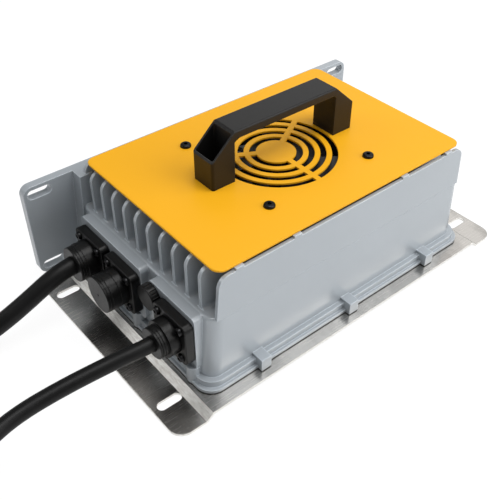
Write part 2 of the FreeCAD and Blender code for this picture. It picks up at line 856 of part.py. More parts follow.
def port_gasket_ring(y, z):
    """The flat gasket behind a connector's flange."""
    half_y, half_z = port_wide / 2 - 0.6, port_tall / 2 - 0.6
    body = slab_x(y - half_y, y + half_y, z - half_z, z + half_z, port_corner - 0.6, pad_x, port_x)
    half = port_screw_square / 2
    cuts = [rod_x(port_spigot, y, z, pad_x - 1, port_x + 1)]
    cuts += [rod_x(m4 + free_hole, y + dy, z + dz, pad_x - 1, port_x + 1) for dy, dz in corners(half, half)]
    return body.cut(cuts)


def port_screws():
    """Twelve socket screws, four round each connector."""
    screws = []
    for y, z in port_screw_places():
        seat = port_face - screw_sink
        head = rod_x(1.75 * m4, y, z, seat, seat + 2 * m4)
        head = head.cut(rod_x(0.8 * m4, y, z, seat + m4, seat + 2 * m4 + 1))
        screws.append(joined([head, rod_x(m4, y, z, pad_x - 8, seat + 0.2)]))
    return group(screws)


def grooves(radius, y, z, reaches):
    """Cutters for fine grooves round a bar that looks along -X."""
    cutters = []
    for reach in reaches:
        outer = rod_x(radius + 1, y, z, reach, reach + groove_width)
        cutters.append(outer.cut(rod_x(radius - groove_depth, y, z, reach - 1, reach + groove_width + 1)))
    return cutters


def gland_nut(y, z, radius, ring, ring_length, wall, barrel, cable):
    """A round gland nut over the barrel, with a narrower ring at its end and two fine grooves on it."""
    start = port_face + free_hole
    end = barrel_end + seal_length + wall
    body = joined([rod_x(radius, y, z, start, end - ring_length), rod_x(ring, y, z, start, end)])
    body = rounded(body, 0.7, lambda edge: abs(middle_of(edge).x + end) < 0.01)
    cuts = [rod_x(barrel + running, y, z, start - 1, end - wall), rod_x(cable + free_hole, y, z, start, end + 1)]
    cuts += grooves(ring, y, z, (end - 2.3, end - 4.4))
    return body.cut(cuts)


def gland_seal(y, z, barrel, cable):
    """The rubber ring that the nut presses on the cable."""
    body = rod_x(barrel, y, z, barrel_end, barrel_end + seal_length)
    return body.cut(rod_x(cable, y, z, barrel_end - 1, barrel_end + seal_length + 1))


def spare_socket():
    """The spare socket: an open neck with a web that holds the contacts."""
    body = port_body(spare_y, output_z, 0, spare_neck, port_face + spare_neck_length)
    recess = rod_x(spare_bore, spare_y, output_z, port_face - 3, port_face + spare_neck_length + 1)
    contacts = [rod_x(m4, y, z, cavity_x - 5, port_face) for y, z in contact_places()]
    return body.cut([recess] + contacts)


def contact_places():
    """Three contacts evenly round the socket's axis, in Y and Z."""
    ring = spare_bore / 2
    return [(spare_y + ring * math.cos(math.radians(90 + 120 * index)),
             output_z + ring * math.sin(math.radians(90 + 120 * index))) for index in range(3)]


def spare_contacts():
    """The round contacts that stand in the spare socket."""
    return group(rod_x(m4, y, z, cavity_x - 5, port_face + spare_neck_length - 4) for y, z in contact_places())


def spare_cap():
    """The cap that closes the spare socket."""
    start = port_face + free_hole
    inside = port_face + spare_neck_length + 1.0
    end = inside + spare_cap_wall
    body = rounded(rod_x(spare_cap_radius, spare_y, output_z, start, end), 0.6,
                   lambda edge: abs(middle_of(edge).x + end) < 0.01)
    cuts = [rod_x(spare_neck + running, spare_y, output_z, start - 1, inside)]
    cuts += grooves(spare_cap_radius, spare_y, output_z, (end - 2.4, end - 4.8, end - 12.0))
    cuts.append(rod_x(0.9, spare_y, output_z, end - 0.8, end + 1))
    return body.cut(cuts)


def spare_cap_seal():
    """The soft ring inside the cap."""
    start = port_face + spare_neck_length
    ring = rod_x(spare_neck, spare_y, output_z, start, start + 1.0)
    return ring.cut(rod_x(spare_bore + 0.3, spare_y, output_z, start - 1, start + 2))


def signal_socket():
    """The small signal socket in the wall."""
    inner = signal_neck - 1
    body = joined([rod_x(inner, signal_y, signal_z, cavity_x - 1.5, pad_x),
                   rod_x(signal_neck, signal_y, signal_z, pad_x, pad_x + signal_neck_length)])
    return body.cut(rod_x(signal_neck - 2, signal_y, signal_z, pad_x - 2, pad_x + signal_neck_length + 1))


def signal_cap():
    """The knurled cap over the signal socket."""
    start = pad_x + free_hole
    end = pad_x + signal_cap_length
    body = rounded(rod_x(signal_cap_radius, signal_y, signal_z, start, end), 0.6,
                   lambda edge: abs(middle_of(edge).x + end) < 0.01)
    cuts = [rod_x(signal_neck + running, signal_y, signal_z, start - 1, pad_x + signal_neck_length)]
    for index in range(signal_knurls):
        angle = 2 * math.pi * index / signal_knurls
        y = signal_y + signal_cap_radius * math.cos(angle)
        z = signal_z + signal_cap_radius * math.sin(angle)
        cuts.append(rod_x(0.5, y, z, start - 1, end - 1.2))
    return body.cut(cuts)


# Cables
def unit(vector):
    """The vector at length one."""
    return vector * (1.0 / vector.Length)


def arc_about(corner, a, b, reach, turn):
    """The arc from a to b that turns round a corner of the route."""
    middle = corner + unit((a + b) * 0.5 - corner) * (reach * math.tan(turn / 4))
    return Part.Arc(a, middle, b).toShape()


def route_wire(name, points):
    """Straight runs joined by tangent arcs, each as large as its two runs allow."""
    spots = [V(*p) for p in points]
    edges = []
    radii = []
    last = spots[0]
    for before, corner, after in zip(spots, spots[1:], spots[2:]):
        into = unit(corner - before)
        out = unit(after - corner)
        turn = into.getAngle(out)
        reach = 0.45 * min((corner - before).Length, (after - corner).Length)
        radii.append(round(reach / math.tan(turn / 2)))
        start = corner - into * reach
        end = corner + out * reach
        edges.append(Part.LineSegment(last, start).toShape())
        edges.append(arc_about(corner, start, end, reach, turn))
        last = end
    edges.append(Part.LineSegment(last, spots[-1]).toShape())
    print(name, "radii", radii)
    return Part.Wire(edges)


def tube(name, wire, diameter):
    """A round tube along a wire, with its volume compared with section times length."""
    first = wire.OrderedEdges[0]
    start = first.valueAt(first.FirstParameter)
    along = first.tangentAt(first.FirstParameter)
    ring = Part.Wire(Part.makeCircle(diameter / 2, start, along))
    shape = wire.makePipeShell([ring], True, False)
    expected = math.pi * diameter ** 2 / 4 * wire.Length
    print(name, "length", round(wire.Length), "volume share", round(shape.Volume / expected, 4))
    return shape


def coil_spot(turns, radius, pitch, start, side):
    """A point of the coil after so many turns: in, then out again one layer higher."""
    inward = coil_turns / 2 + 0.25
    reach = radius - pitch * turns if turns < inward else radius - pitch * (2 * inward - turns)
    share = min(max((turns - inward + 0.25) / 0.5, 0), 1)
    climb = (1 - math.cos(math.pi * share)) / 2
    angle = 2 * math.pi * turns
    x = start.x - reach * math.sin(angle)
    y = start.y + side * (reach * math.cos(angle) - radius)
    return V(x, y, start.z + pitch * climb)


def coil_wire(radius, pitch, start, side, diameter):
    """The coil's centre line as two arcs for each quarter turn, straight at both ends."""
    count = 4 * coil_turns
    step = 0.002
    spots = [coil_spot(i / 4, radius, pitch, start, side) for i in range(count + 1)]
    ways = [V(-1, 0, 0)]
    for i in range(1, count):
        before = coil_spot(i / 4 - step, radius, pitch, start, side)
        after = coil_spot(i / 4 + step, radius, pitch, start, side)
        ways.append(unit(after - before))
    ways.append(V(-1, 0, 0))
    edges = [Part.LineSegment(spots[0] + V(diameter, 0, 0), spots[0]).toShape()]
    for p0, p1, t0, t1 in zip(spots, spots[1:], ways, ways[1:]):
        chord = p1 - p0
        both = chord.dot(t0 + t1)
        spread = 2 * (1 - t0.dot(t1))
        reach = (-both + math.sqrt(both ** 2 + spread * chord.dot(chord))) / spread
        q0 = p0 + t0 * reach
        q1 = p1 - t1 * reach
        join = (q0 + q1) * 0.5
        way = unit(q1 - q0)
        edges.append(arc_about(q0, p0, join, reach, t0.getAngle(way)))
        edges.append(arc_about(q1, join, p1, reach, way.getAngle(t1)))
    edges.append(Part.LineSegment(spots[-1], spots[-1] - V(diameter, 0, 0)).toShape())
    return Part.Wire(edges)


def print_least_gap(name, wire, diameter):
    """Print how near the coil comes to itself, measured on points along it."""
    count = int(wire.Length / 4)
    spots = wire.discretize(Number=count)
    skip = int(2.5 * diameter / 4)
    least = min((spots[i] - spots[j]).Length for i in range(count) for j in range(i + skip, count))
    print(name, "least gap", round(least - diameter, 2))


def coil(name, radius, pitch, start, side, diameter):
    """One unbroken tube wound in two layers, to one side of its start."""
    wire = coil_wire(radius, pitch, start, side, diameter)
    print_least_gap(name, wire, diameter)
    return tube(name, wire, diameter)


output_lead_route = [
    (-gland_start, output_y, output_z),
    (-168.5, output_y, output_z),
    (-189.0, 53.3, 44.0),
    (-208.0, 53.3, 35.4),
    (-232.0, 53.8, 25.4),
    (-258.0, 57.5, 15.0),
    (-284.0, 65.5, 9.0),
    (-308.0, 76.5, output_floor),
    (-332.0, 88.0, 7.6),
    (-355.0, output_lane, output_floor),
    (coil_x + output_cable, output_lane, output_floor),
]
mains_lead_route = [
    (-gland_start, mains_y, mains_z),
    (-168.0, mains_y, mains_z),
    (-198.0, -53.4, 47.2),
    (-235.5, -48.6, 44.0),
    (-268.0, -47.2, 41.0),
    (-292.0, -52.3, 39.2),
    (-318.0, -64.4, 38.0),
    (-342.0, -76.0, mains_coil_z),
    (-363.0, mains_lane, mains_coil_z),
    (coil_x + mains_cable, mains_lane, mains_coil_z),
]
output_tail_route = [
    (output_exit.x, output_exit.y, output_exit.z),
    (-448.0, output_exit.y, output_exit.z),
    (-472.0, 85.5, 19.0),
    (-496.0, 84.3, 13.6),
    (-514.0, output_plug_at.y, output_plug_at.z),
    (output_plug_at.x, output_plug_at.y, output_plug_at.z),
]
mains_tail_route = [
    (mains_exit.x, mains_exit.y, mains_exit.z),
    (-440.0, mains_exit.y, mains_exit.z),
    (-465.0, -76.5, 41.5),
    (-489.0, -77.0, 26.0),
    (-513.0, -77.3, 12.0),
    (-536.0, -77.5, mains_floor),
    (-557.0, -77.5, 7.4),
    (-576.0, -77.5, 12.8),
    (-594.0, mains_plug_at.y, mains_plug_at.z),
    (mains_plug_at.x, mains_plug_at.y, mains_plug_at.z),
]


def mains_plug_body():
    """A moulded three-pin plug with a tapered boot, lying on the floor."""
    x, y, z = -mains_plug_at.x, mains_plug_at.y, mains_plug_at.z
    boot_end = x + 26.0
    end = x + mains_plug_length
    boot = cone_x(mains_floor + 2.0, mains_floor + 5.5, y, z, x, boot_end)
    body = slab_x(y - mains_plug_width / 2, y + mains_plug_width / 2, 0, mains_plug_tall, 9.0, boot_end - 1, end)
    body = rounded(body, 2.5, lambda edge: abs(middle_of(edge).x + boot_end - 1) < 0.01)
    return joined([body, boot]).cut([rod_x(mains_pin, y + dy, z + dz, end - 12, end + 1) for dy, dz in plug_pins])


def mains_plug_pins():
    """Three round pins held in the plug."""
    end = mains_plug_length - mains_plug_at.x
    return group(rod_x(mains_pin, mains_plug_at.y + dy, mains_plug_at.z + dz, end - 12, end + mains_pin_length)
                 for dy, dz in plug_pins)


def output_plug_body():
    """A rectangular battery plug with two open contact chambers and ribbed grips."""
    x, y, z = -output_plug_at.x, output_plug_at.y, output_plug_at.z
    half = output_plug_width / 2
    end = x + output_plug_length
    body = slab_x(y - half, y + half, 0, output_plug_tall, 3.0, x, end)
    cuts = [slab_x(y + side * blade_side - 8, y + side * blade_side + 8, z - 7, z + 7, 2.0, end - 24, end + 1)
            for side in (-1, 1)]
    cuts += [blade_box(side, end - 38, end - 23) for side in (-1, 1)]
    grip = box(-x - 30, -x - 12, y - half - 1, y - half + 1.4, -1, output_plug_tall + 1)
    return body.cut(cuts + [grip, grip.mirror(V(0, y, 0), V(0, 1, 0))])


def blade_box(side, reach0, reach1):
    """One flat contact blade of the battery plug."""
    y = output_plug_at.y + side * blade_side
    z = output_plug_at.z
    return box(-reach1, -reach0, y - blade_width / 2, y + blade_width / 2, z - blade_tall / 2, z + blade_tall / 2)


def output_plug_blades():
    """The two contact blades."""
    end = output_plug_length - output_plug_at.x
    return group(blade_box(side, end - 38, end - 6) for side in (-1, 1))


# Circuit board and what stands on it
def circuit_board():
    """The board under the pillars, with the socket for the fan's lead."""
    board = slab(-board_half_x, board_half_x, -board_half_y, board_half_y, 3, board_height, board_top)
    header = box(lead_x - 4, lead_x + 4, lead_y - 4, lead_y + 4, board_top, lead_bottom)
    holes = [rod_z(m3 + free_hole, x, y, board_height - 1, board_top + 1)
             for x, y in pillar_places()]
    return joined([board, header]).cut(holes)


def board_screws():
    """Screws up into the pillars."""
    return group(screw_z(m3, 1.9 * m3, 2.0, x, y, board_height, board_thick + 8, False)
                 for x, y in pillar_places())


def transformer_core():
    """A ferrite core with two windows."""
    body = box(core_x - core_half, core_x + core_half, core_y - core_deep, core_y + core_deep,
               board_top, board_top + core_tall)
    windows = []
    for side in (-1, 1):
        x0, x1 = sorted((core_x + side * core_leg, core_x + side * (core_half - core_yoke)))
        windows.append(box(x0, x1, core_y - core_deep - 1, core_y + core_deep + 1,
                           board_top + core_leg, board_top + core_tall - core_leg))
    return body.cut(windows)


def transformer_winding():
    """The winding round the middle leg."""
    reach = core_half - core_yoke - 1
    deep = core_deep + reach - core_leg
    outer = slab(core_x - reach, core_x + reach, core_y - deep, core_y + deep, 3,
                 board_top + core_leg, board_top + core_tall - core_leg)
    leg = box(core_x - core_leg, core_x + core_leg, core_y - core_deep, core_y + core_deep,
              board_top + core_leg - 1, board_top + core_tall)
    return outer.cut(leg)


def choke_cores():
    """Two ring cores that lie flat above the board."""
    cores = []
    for x, y in choke_places:
        z = board_top + choke_wire
        ring = rod_z(choke_outer, x, y, z, z + choke_tall)
        cores.append(ring.cut(rod_z(choke_inner, x, y, z - 1, z + choke_tall + 1)))
    return group(cores)


def choke_windings():
    """The winding round most of each ring core."""
    windings = []
    for x, y in choke_places:
        z = board_top
        jacket = rod_z(choke_outer + choke_wire, x, y, z, z + choke_tall + 2 * choke_wire)
        jacket = jacket.cut(rod_z(choke_inner - choke_wire, x, y, z - 1, z + choke_tall + 2 * choke_wire + 1))
        core = rod_z(choke_outer, x, y, z + choke_wire, z + choke_wire + choke_tall)
        core = core.cut(rod_z(choke_inner, x, y, z, z + 2 * choke_wire + choke_tall))
        gap = box(x, x + choke_outer + choke_wire + 1, y - choke_gap, y + choke_gap, z - 1, z + choke_tall + 2 * choke_wire + 1)
        windings.append(jacket.cut([core, gap]))
    return group(windings)


def cans(places, radius, tall):
    """Round capacitors that stand on the board."""
    shapes = []
    for x, y in places:
        can = rod_z(radius, x, y, board_top, board_top + tall)
        shapes.append(rounded(can, can_edge, lambda edge: abs(middle_of(edge).z - board_top - tall) < 0.01))
    return group(shapes)


def bulk_capacitors():
    """Three large capacitors on the mains side."""
    places = [(bulk_can_x + bulk_can_step * index, bulk_can_y) for index in range(3)]
    return cans(places, bulk_can_radius, bulk_can_tall)


def output_capacitors():
    """Four small capacitors on the output side."""
    return cans([(x, output_can_y) for x in output_can_x], output_can_radius, output_can_tall)


def filter_capacitors():
    """Two flat film capacitors near the mains input."""
    return group(box(x - film_length / 2, x + film_length / 2, film_y - film_thick / 2, film_y + film_thick / 2,
                     board_top, board_top + film_tall) for x in film_x)


def fuse():
    """A glass fuse with its two metal caps."""
    half = fuse_length / 2
    return rod(fuse_radius, V(fuse_x, fuse_y - half, fuse_z), V(fuse_x, fuse_y + half, fuse_z))


def fuse_holder():
    """Two clips on a small base."""
    half = fuse_length / 2 + 2
    base = box(fuse_x - 5, fuse_x + 5, fuse_y - half, fuse_y + half, board_top, board_top + 3)
    clips = []
    for side in (-1, 1):
        y = fuse_y + side * (fuse_length / 2 - fuse_clip / 2)
        clips.append(box(fuse_x - 4, fuse_x + 4, y - fuse_clip / 2, y + fuse_clip / 2, board_top + 2, fuse_z + 3))
    bore = rod(fuse_radius, V(fuse_x, fuse_y - half - 1, fuse_z), V(fuse_x, fuse_y + half + 1, fuse_z))
    mouth = box(fuse_x - 1.6, fuse_x + 1.6, fuse_y - half - 1, fuse_y + half + 1, fuse_z, fuse_z + 4)
    return joined([base] + clips).cut([bore, mouth])


def relay():
    """The output relay."""
    return slab(relay_x - relay_length / 2, relay_x + relay_length / 2, relay_y - relay_width / 2,
                relay_y + relay_width / 2, 1, board_top, board_top + relay_tall)


def terminal_blocks():
    """The blocks that the mains and output wires go into."""
    return group(box(terminal_x, terminal_x + terminal_length, y - terminal_width / 2, y + terminal_width / 2,
                     board_top, board_top + terminal_height) for y in (mains_y + 4, output_y))


def inner_wires():
    """Three mains wires and two output wires, from the glands to their blocks."""
    wires = []
    plan = [("mains wire", 1.3, mains_y, mains_z, ((-2.4, -1.4), (2.4, -1.4), (0.0, 2.6)), 4.0, 3.0),
            ("output wire", 2.5, output_y, output_z, ((-2.8, 0.0), (2.8, 0.0)), 0.0, 2.2)]
    for name, radius, y, z, offsets, shift, spread in plan:
        for dy, dz in offsets:
            points = [(-gland_start, y + dy, z + dz), (-cavity_x + 4, y + dy, z + dz)]
            points.append((terminal_x - 11, y + shift / 2 + spread * dy / 1.4, (z + dz + wire_entry_z) / 2 + 1.5))
            points.append((terminal_x + 4, y + shift + spread * dy, wire_entry_z))
            wires.append(tube(name, route_wire(name, points), 2 * radius))
    return group(wires)


def power_transistors():
    """Four flat power transistors against the near wall, each with three legs."""
    shapes = []
    y1 = -cavity_y + sheet_thick
    half = transistor_wide / 2
    low = clamp_z - transistor_low
    for x in transistor_places:
        body = box(x - half, x + half, y1, y1 + transistor_thick, low, low + transistor_tall)
        legs = [box(x + dx - leg_wide / 2, x + dx + leg_wide / 2, y1 + 2.6, y1 + 3.4, board_top, low + 1)
                for dx in (-leg_step, 0, leg_step)]
        shapes.append(joined([body] + legs))
    return group(shapes)


def insulating_sheet():
    """The thin sheet between the transistors and the wall."""
    body = box(-sheet_half, sheet_half, -cavity_y, -cavity_y + sheet_thick, clamp_z - 16, clamp_z + 12)
    return body.cut([rod(m3 + free_hole, V(x, -cavity_y - 1, clamp_z), V(x, -cavity_y + 2, clamp_z))
                     for x in clamp_places])


def clamp_bar():
    """The bar that presses the transistors on the wall."""
    y0 = -cavity_y + sheet_thick + transistor_thick
    half = clamp_wide / 2
    body = box(-clamp_half, clamp_half, y0, y0 + clamp_thick, clamp_z - half, clamp_z + half)
    return body.cut([rod(m3 + free_hole, V(x, y0 - 1, clamp_z), V(x, y0 + clamp_thick + 1, clamp_z))
                     for x in clamp_places])


def clamp_screws():
    """Three screws through the bar into the wall."""
    y0 = -cavity_y + sheet_thick + transistor_thick + clamp_thick
    screws = []
    for x in clamp_places:
        head = rod(1.9 * m3, V(x, y0, clamp_z), V(x, y0 + 2.2, clamp_z))
        screws.append(joined([head, rod(m3, V(x, y0 + 0.2, clamp_z), V(x, -cavity_y - 3, clamp_z))]))
    return group(screws)


write("base_plate", base_plate())
write("base_gasket", base_gasket())
write("base_screws", base_screws())
write("main_casing", main_casing())
write("top_cover", top_cover())
write("cover_screws", cover_screws())
write("handle", handle())
write("handle_screws", handle_screws())
write("handle_nuts", handle_nuts())
write("fan_frame", fan_frame())
write("fan_rotor", fan_rotor())
write("fan_shaft", fan_shaft())
write("fan_bearings", fan_bearings())
write("fan_stator", fan_stator())
write("fan_lead", fan_lead())
write("fan_grommet", fan_grommet())
write("output_port_body", port_body(output_y, output_z, output_bore, output_barrel, barrel_end))
write("output_port_gasket", port_gasket_ring(output_y, output_z))
write("output_gland_seal", gland_seal(output_y, output_z, output_barrel, output_cable / 2))
write("output_gland_nut", gland_nut(output_y, output_z, output_nut_radius, output_nut_ring,
                                    output_nut_ring_length, output_nut_wall, output_barrel, output_cable / 2))
write("spare_socket", spare_socket())
write("spare_socket_gasket", port_gasket_ring(spare_y, output_z))
write("spare_contacts", spare_contacts())
write("spare_cap", spare_cap())
write("spare_cap_seal", spare_cap_seal())
write("mains_port_body", port_body(mains_y, mains_z, mains_bore, mains_barrel, barrel_end))
write("mains_port_gasket", port_gasket_ring(mains_y, mains_z))
write("mains_gland_seal", gland_seal(mains_y, mains_z, mains_barrel, mains_cable / 2))
write("mains_gland_nut", gland_nut(mains_y, mains_z, mains_nut_radius, mains_nut_ring, mains_nut_ring_length,
                                   mains_nut_wall, mains_barrel, mains_cable / 2))
write("port_screws", port_screws())
write("signal_socket", signal_socket())
write("signal_cap", signal_cap())
write("output_lead", tube("output_lead", route_wire("output_lead", output_lead_route), output_cable))
write("output_coil", coil("output_coil", output_coil_radius, output_coil_pitch, output_coil_start, 1, output_cable))
write("output_tail", tube("output_tail", route_wire("output_tail", output_tail_route), output_cable))
write("output_plug_body", output_plug_body())
write("output_plug_blades", output_plug_blades())
write("mains_lead", tube("mains_lead", route_wire("mains_lead", mains_lead_route), mains_cable))
write("mains_coil", coil("mains_coil", mains_coil_radius, mains_coil_pitch, mains_coil_start, -1, mains_cable))
write("mains_tail", tube("mains_tail", route_wire("mains_tail", mains_tail_route), mains_cable))
write("mains_plug_body", mains_plug_body())
write("mains_plug_pins", mains_plug_pins())
write("circuit_board", circuit_board())
write("board_screws", board_screws())
write("transformer_core", transformer_core())
write("transformer_winding", transformer_winding())
write("choke_cores", choke_cores())
write("choke_windings", choke_windings())
write("bulk_capacitors", bulk_capacitors())
write("output_capacitors", output_capacitors())
write("filter_capacitors", filter_capacitors())
write("fuse_holder", fuse_holder())
write("fuse", fuse())
write("relay", relay())
write("terminal_blocks", terminal_blocks())
write("power_transistors", power_transistors())
write("insulating_sheet", insulating_sheet())
write("clamp_bar", clamp_bar())
write("clamp_screws", clamp_screws())
write("inner_wires", inner_wires())
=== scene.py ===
"""Car battery charger on a pale studio floor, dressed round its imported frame."""

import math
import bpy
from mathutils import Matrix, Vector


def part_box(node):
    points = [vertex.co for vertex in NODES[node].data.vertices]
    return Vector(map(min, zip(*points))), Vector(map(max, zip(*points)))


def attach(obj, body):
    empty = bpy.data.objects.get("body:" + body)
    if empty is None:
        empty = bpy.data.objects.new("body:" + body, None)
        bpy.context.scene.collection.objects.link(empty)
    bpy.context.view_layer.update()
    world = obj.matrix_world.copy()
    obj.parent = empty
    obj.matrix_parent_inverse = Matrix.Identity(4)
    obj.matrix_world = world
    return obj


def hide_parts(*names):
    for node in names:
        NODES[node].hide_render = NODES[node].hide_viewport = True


bl_info = {
    "name": "Battery Charger Dresser",
    "version": (1, 0, 0),
    "blender": (4, 5, 0),
    "location": "View3D > Sidebar > Charger",
    "description": "Dresses a finned car battery charger with its finishes, cables and studio",
    "category": "Object",
}

import bmesh
import bpy
from mathutils import Matrix, Vector

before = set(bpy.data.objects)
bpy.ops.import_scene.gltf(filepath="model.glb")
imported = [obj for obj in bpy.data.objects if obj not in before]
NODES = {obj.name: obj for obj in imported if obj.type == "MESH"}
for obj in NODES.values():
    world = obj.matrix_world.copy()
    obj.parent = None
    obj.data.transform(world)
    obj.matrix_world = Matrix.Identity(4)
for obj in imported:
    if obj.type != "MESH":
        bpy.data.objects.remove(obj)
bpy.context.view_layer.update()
BODY = "charger"

# The cables' routes, as control points in metres
OUTPUT_DIAMETER = 0.015
MAINS_DIAMETER = 0.012
COIL_TURNS = 3
COIL_POINTS = 16
OUTPUT_COIL = {"radius": 0.0945, "pitch": 0.016, "start": (-0.396, 0.0945, 0.0075), "side": 1}
MAINS_COIL = {"radius": 0.082, "pitch": 0.013, "start": (-0.396, -0.082, 0.0377), "side": -1}
OUTPUT_LEAD = [
    (-0.1660, 0.0533, 0.0485),
    (-0.1750, 0.0533, 0.0480),
    (-0.1890, 0.0533, 0.0440),
    (-0.2080, 0.0533, 0.0354),
    (-0.2320, 0.0538, 0.0254),
    (-0.2580, 0.0575, 0.0150),
    (-0.2840, 0.0655, 0.0090),
    (-0.3080, 0.0765, 0.0075),
    (-0.3320, 0.0880, 0.0076),
    (-0.3550, 0.0945, 0.0075),
    (-0.3810, 0.0945, 0.0075),
]
MAINS_LEAD = [
    (-0.1655, -0.0588, 0.0500),
    (-0.1780, -0.0578, 0.0496),
    (-0.1980, -0.0534, 0.0472),
    (-0.2355, -0.0486, 0.0440),
    (-0.2680, -0.0472, 0.0410),
    (-0.2920, -0.0523, 0.0392),
    (-0.3180, -0.0644, 0.0380),
    (-0.3420, -0.0760, 0.0377),
    (-0.3630, -0.0820, 0.0377),
    (-0.3840, -0.0820, 0.0377),
]
OUTPUT_TAIL = [
    (-0.4110, 0.0865, 0.0235),
    (-0.4480, 0.0865, 0.0235),
    (-0.4720, 0.0855, 0.0190),
    (-0.4960, 0.0843, 0.0136),
    (-0.5140, 0.0840, 0.0125),
    (-0.5320, 0.0840, 0.0125),
]
MAINS_TAIL = [
    (-0.4080, -0.0755, 0.0507),
    (-0.4400, -0.0755, 0.0507),
    (-0.4650, -0.0765, 0.0415),
    (-0.4890, -0.0770, 0.0260),
    (-0.5130, -0.0773, 0.0120),
    (-0.5360, -0.0775, 0.0060),
    (-0.5570, -0.0775, 0.0074),
    (-0.5760, -0.0775, 0.0128),
    (-0.5940, -0.0775, 0.0175),
    (-0.6120, -0.0775, 0.0175),
]


class FinishSettings(bpy.types.PropertyGroup):
    """Colours that a user would change."""
    cover: bpy.props.FloatVectorProperty(
        name="Cover", description="Powder coat of the cover", subtype="COLOR", size=3,
        default=(0.93, 0.45, 0.010))
    casing: bpy.props.FloatVectorProperty(
        name="Casing", description="Coat of the cast casing", subtype="COLOR", size=3,
        default=(0.425, 0.462, 0.495))
    plastic: bpy.props.FloatVectorProperty(
        name="Plastic", description="Black moulded plastic", subtype="COLOR", size=3,
        default=(0.0045, 0.0045, 0.0045))
    handle: bpy.props.FloatVectorProperty(
        name="Handle", description="Grained plastic of the handle", subtype="COLOR", size=3,
        default=(0.010, 0.0095, 0.009))
    steel: bpy.props.FloatVectorProperty(
        name="Base steel", description="Brushed steel of the base plate", subtype="COLOR", size=3,
        default=(0.74, 0.71, 0.67))
    jacket: bpy.props.FloatVectorProperty(
        name="Cable", description="Rubber jacket of the cables", subtype="COLOR", size=3,
        default=(0.0045, 0.0045, 0.0045))


class ScrewSettings(bpy.types.PropertyGroup):
    """Sizes of the visible black screws."""
    cover_centre: bpy.props.FloatProperty(
        name="Cover screw inset", description="From the cover screws' outermost edge to their centres",
        subtype="DISTANCE", unit="LENGTH", default=0.0050)
    cover_head: bpy.props.FloatProperty(
        name="Cover head radius", description="Radius of a cover screw's head", subtype="DISTANCE",
        unit="LENGTH", default=0.0046)
    cover_key: bpy.props.FloatProperty(
        name="Cover key reach", description="Centre to flat of a cover screw's socket", subtype="DISTANCE",
        unit="LENGTH", default=0.0016)
    cover_shank: bpy.props.FloatProperty(
        name="Cover shank radius", description="Radius of a cover screw's shank", subtype="DISTANCE",
        unit="LENGTH", default=0.0019)
    port_spacing: bpy.props.FloatProperty(
        name="Port screw spacing", description="From a port's middle to its screws, across and up",
        subtype="DISTANCE", unit="LENGTH", default=0.01365)
    port_flange: bpy.props.FloatProperty(
        name="Port flange thickness", description="From a port's gasket to the seats of its screws",
        subtype="DISTANCE", unit="LENGTH", default=0.0057)
    port_head: bpy.props.FloatProperty(
        name="Port head radius", description="Radius of a port screw's head", subtype="DISTANCE",
        unit="LENGTH", default=0.0034)
    port_key: bpy.props.FloatProperty(
        name="Port key reach", description="Centre to flat of a port screw's socket", subtype="DISTANCE",
        unit="LENGTH", default=0.0014)
    port_shank: bpy.props.FloatProperty(
        name="Port shank radius", description="Radius of a port screw's shank", subtype="DISTANCE",
        unit="LENGTH", default=0.0014)


class StageSettings(bpy.types.PropertyGroup):
    """The camera and the lights."""
    eye: bpy.props.FloatVectorProperty(
        name="Camera place", description="Where the camera stands", subtype="TRANSLATION", unit="LENGTH",
        size=3, default=(-0.33871, -0.37289, 0.44047))
    heading: bpy.props.FloatProperty(
        name="Heading", description="Turn from +Y towards +X", subtype="ANGLE", default=math.radians(39.76))
    dip: bpy.props.FloatProperty(
        name="Dip", description="How far the camera looks down", subtype="ANGLE",
        default=math.radians(40.595))
    roll: bpy.props.FloatProperty(
        name="Roll", description="Turn about the view's axis", subtype="ANGLE", default=math.radians(0.274))
    lens: bpy.props.FloatProperty(
        name="Lens", description="Focal length on a 36 mm frame", unit="CAMERA", default=52.607)
    world: bpy.props.FloatProperty(
        name="World light", description="Strength of the sky's light on the object", default=0.22)


class Wire:
    """A number in a material that Python's operators carry on as Math nodes."""

    def __init__(self, shader, socket):
        self.shader = shader
        self.socket = socket

    def maths(self, operation, *others):
        """One Math node with this wire first."""
        node = self.shader.node("ShaderNodeMath", {"operation": operation})
        for socket, value in zip(node.inputs, (self,) + others):
            self.shader.feed(socket, value)
        return Wire(self.shader, node.outputs[0])

    def __add__(self, other):
        return self.maths("ADD", other)

    __radd__ = __add__

    def __mul__(self, other):
        return self.maths("MULTIPLY", other)

    __rmul__ = __mul__

    def __rsub__(self, other):
        return (self * -1.0) + other

    def between(self, low, high):
        """0 below low, 1 above high and a smooth step between them."""
        node = self.shader.node("ShaderNodeMapRange", {"interpolation_type": "SMOOTHSTEP"},
                                **{"Value": self, "From Min": low, "From Max": high})
        return Wire(self.shader, node.outputs[0])


